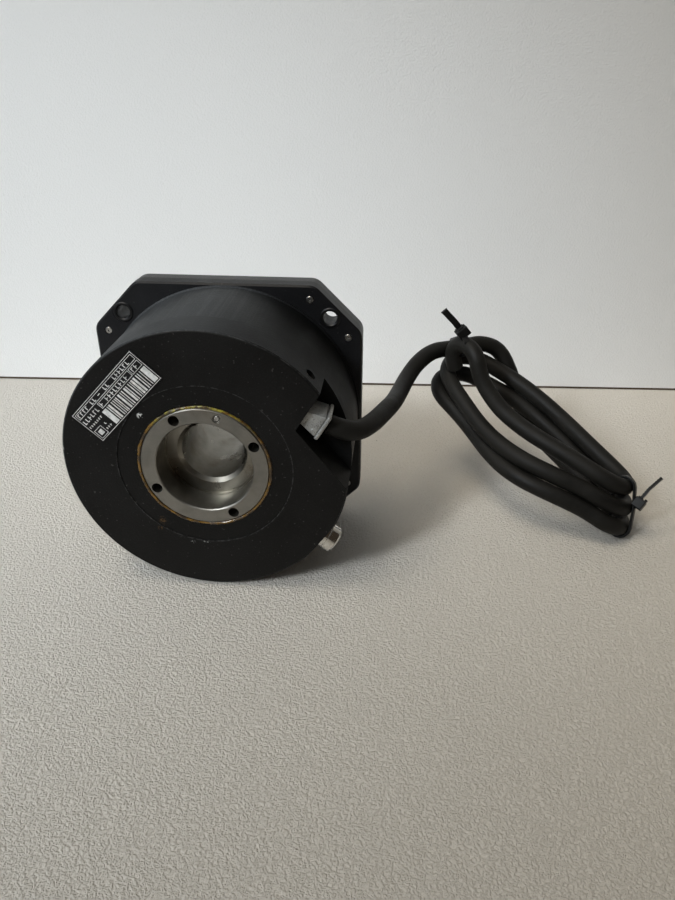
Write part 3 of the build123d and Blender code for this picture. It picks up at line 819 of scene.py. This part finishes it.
def plastic_look(name, base, light, shine):
    look = Look(name, specular_ior_level=0.2)
    cloud = look.noise(150, detail=3)
    look.set(base_color=look.mix(cloud, base, light),
             roughness=look.step(cloud, 0.3, 0.7, shine, shine + 0.1))
    look.bump(look.noise(2500, detail=1), 0.00002, 0.4)
    return look.material


def ink_look():
    look = Look("label_ink", roughness=0.55, specular_ior_level=0.3)
    wear = look.noise(700, detail=3)
    look.set(base_color=look.mix(look.step(wear, 0.35, 0.7), (0.74, 0.74, 0.72), (0.48, 0.48, 0.46)))
    look.bump(wear, 0.00001, 0.3)
    return look.material


def glass_look():
    look = Look("glass", transmission_weight=0.9, ior=1.5)
    cloud = look.noise(80, detail=2)
    look.set(base_color=look.mix(cloud, (0.80, 0.90, 0.87), (0.75, 0.86, 0.84)),
             roughness=look.step(cloud, 0.3, 0.7, 0.03, 0.08))
    return look.material


def board_look():
    look = Look("board")
    tracks = look.step(look.cell_edges(260), 0.03, 0.06, 1.0, 0.0)
    look.set(base_color=look.mix(tracks, (0.012, 0.085, 0.035), (0.03, 0.16, 0.07)), roughness=0.35)
    look.bump(tracks, 0.00003, 0.6)
    return look.material


def floor_look():
    look = Look("floor", roughness=0.7, specular_ior_level=0.25)
    curl = look.step(look.noise(1150, detail=2, roughness=0.5, distortion=0.8), 0.36, 0.66)
    fine = look.noise(2200, detail=2)
    cloud = look.noise(5, detail=3)
    color = look.mix(cloud, (0.63, 0.59, 0.53), (0.70, 0.66, 0.60))
    color = look.mix(look.math("MULTIPLY", curl, 0.08), color, (0.50, 0.46, 0.40))
    specks = look.step(look.noise(420, detail=1), 0.80, 0.82)
    look.set(base_color=look.mix(look.math("MULTIPLY", specks, 0.6), color, (0.20, 0.15, 0.10)))
    look.bump(look.math("ADD", curl, look.math("MULTIPLY", fine, 0.6)), 0.0008, 0.6)
    return look.material


def one_sided(look):
    """Clear from its back, so that the wall doesn't hide the object's rear."""
    nodes, links = look.tree.nodes, look.tree.links
    side = nodes.new("ShaderNodeMixShader")
    links.new(nodes.new("ShaderNodeNewGeometry").outputs["Backfacing"], side.inputs[0])
    links.new(look.shader.outputs[0], side.inputs[1])
    links.new(nodes.new("ShaderNodeBsdfTransparent").outputs[0], side.inputs[2])
    links.new(side.outputs[0], nodes["Material Output"].inputs["Surface"])
    return look.material


def wall_look():
    look = Look("wall", roughness=0.8, specular_ior_level=0.2)
    fine = look.noise(1300, detail=3)
    cloud = look.noise(4, detail=2)
    look.set(base_color=look.mix(cloud, (0.78, 0.775, 0.76), (0.82, 0.815, 0.80)))
    look.bump(fine, 0.0006, 0.45)
    return one_sided(look)


def gap_shade_look():
    # Painted shade of the joint between wall and floor, dark brown.
    look = Look("gap", roughness=0.9)
    look.set(base_color=look.mix(look.noise(60, detail=4), (0.03, 0.02, 0.012), (0.10, 0.07, 0.045)))
    return one_sided(look)


def dress(look, *nodes):
    """Gives carried-over CAD nodes a finish."""
    for name in nodes:
        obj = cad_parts[name]
        if not obj.material_slots:
            obj.data.materials.append(look)
        for slot in obj.material_slots:
            slot.material = look


def numbered(stem, count):
    return [f"{stem}_{number}" for number in range(1, count + 1)]


def dress_nodes():
    dress(cover_look(), "front_cover")
    dress(housing_look(), "housing")
    dress(plate_look("dark_plate", (0.004, 0.004, 0.0046), (0.008, 0.008, 0.009)), "flange_front_plate")
    dress(plate_look("grey_plate", (0.030, 0.030, 0.030), (0.055, 0.055, 0.054)), "flange_rear_plate")
    dress(steel_look("ring_steel", (0.31, 0.297, 0.27), 0.34, stain=0.35), "front_ring")
    dress(steel_look("shaft_steel", (0.29, 0.273, 0.235), 0.26, stain=0.5), "hollow_shaft")
    bright = steel_look("bright_steel", (0.62, 0.61, 0.59), 0.22)
    dress(bright, "dowel_pin", "radial_set_screw", "bearing_spacer", "shaft_lock_nut",
          "disc_clamp_ring", "front_bearing_cage", "front_bearing_inner_ring",
          "front_bearing_outer_ring", "rear_bearing_cage", "rear_bearing_inner_ring",
          "rear_bearing_outer_ring", *numbered("flange_pin", 6), *numbered("cover_screw", 3),
          *numbered("disc_screw", 3))
    dress(rubber_look("black_rubber", (0.006, 0.006, 0.006), (0.012, 0.012, 0.012), 0.5),
          "cable_core", "cover_gasket", "rear_seal")
    dress(steel_look("bush_steel", (0.05, 0.05, 0.052), 0.34), *numbered("flange_bush", 4))
    dress(rubber_look("front_seal_rubber", (0.004, 0.003, 0.002), (0.012, 0.008, 0.004), 0.35),
          "front_seal")
    dress(nickel_look(), "air_fitting", "air_fitting_cap")
    dress(plate_look("label", (0.0025, 0.0025, 0.0028), (0.0045, 0.0045, 0.005)), "label_plate")
    dress(glass_look(), "graduated_disc", "condenser_lens", "scanning_plate")
    dress(plastic_look("anodised", (0.02, 0.02, 0.022), (0.035, 0.035, 0.038), 0.4),
          "lamp_housing", "detector_holder", "scanning_bridge")
    dress(plastic_look("chip_plastic", (0.015, 0.015, 0.016), (0.025, 0.025, 0.026), 0.45),
          "photodetector", "interpolator_chip", "board_connector")
    dress(board_look(), "circuit_board")


make_camera()
cable = make_cable(cable_look())
nylon = plastic_look("nylon", (0.0025, 0.0025, 0.0025), (0.005, 0.005, 0.005), 0.38)
line = centreline(cable)
ties = make_tie("upper_tie", "upper_cable_tie", line, nylon, centre=(0.0806, 0.0350, 0.0095),
                axis=(0.941, 0.266, 0.209), reach=0.011, head=(0.0807, 0.0285, 0.0172),
                tail=[(0.0776, 0.0280, 0.0211), (0.0732, 0.0270, 0.0258)])
ties += make_tie("lower_tie", "lower_cable_tie", line, nylon, centre=(0.1397, -0.0082, -0.0338),
                 axis=(0.527, 0.787, -0.322), reach=0.012, head=(0.1444, -0.0100, -0.0308),
                 tail=[(0.1480, -0.0080, -0.0262), (0.1522, -0.0060, -0.0226)])
make_stage(floor_look(), wall_look())
make_lights()
dress_nodes()
make_label_print(ink_look())
make_grease(grease_look())
make_gland(zinc_look())
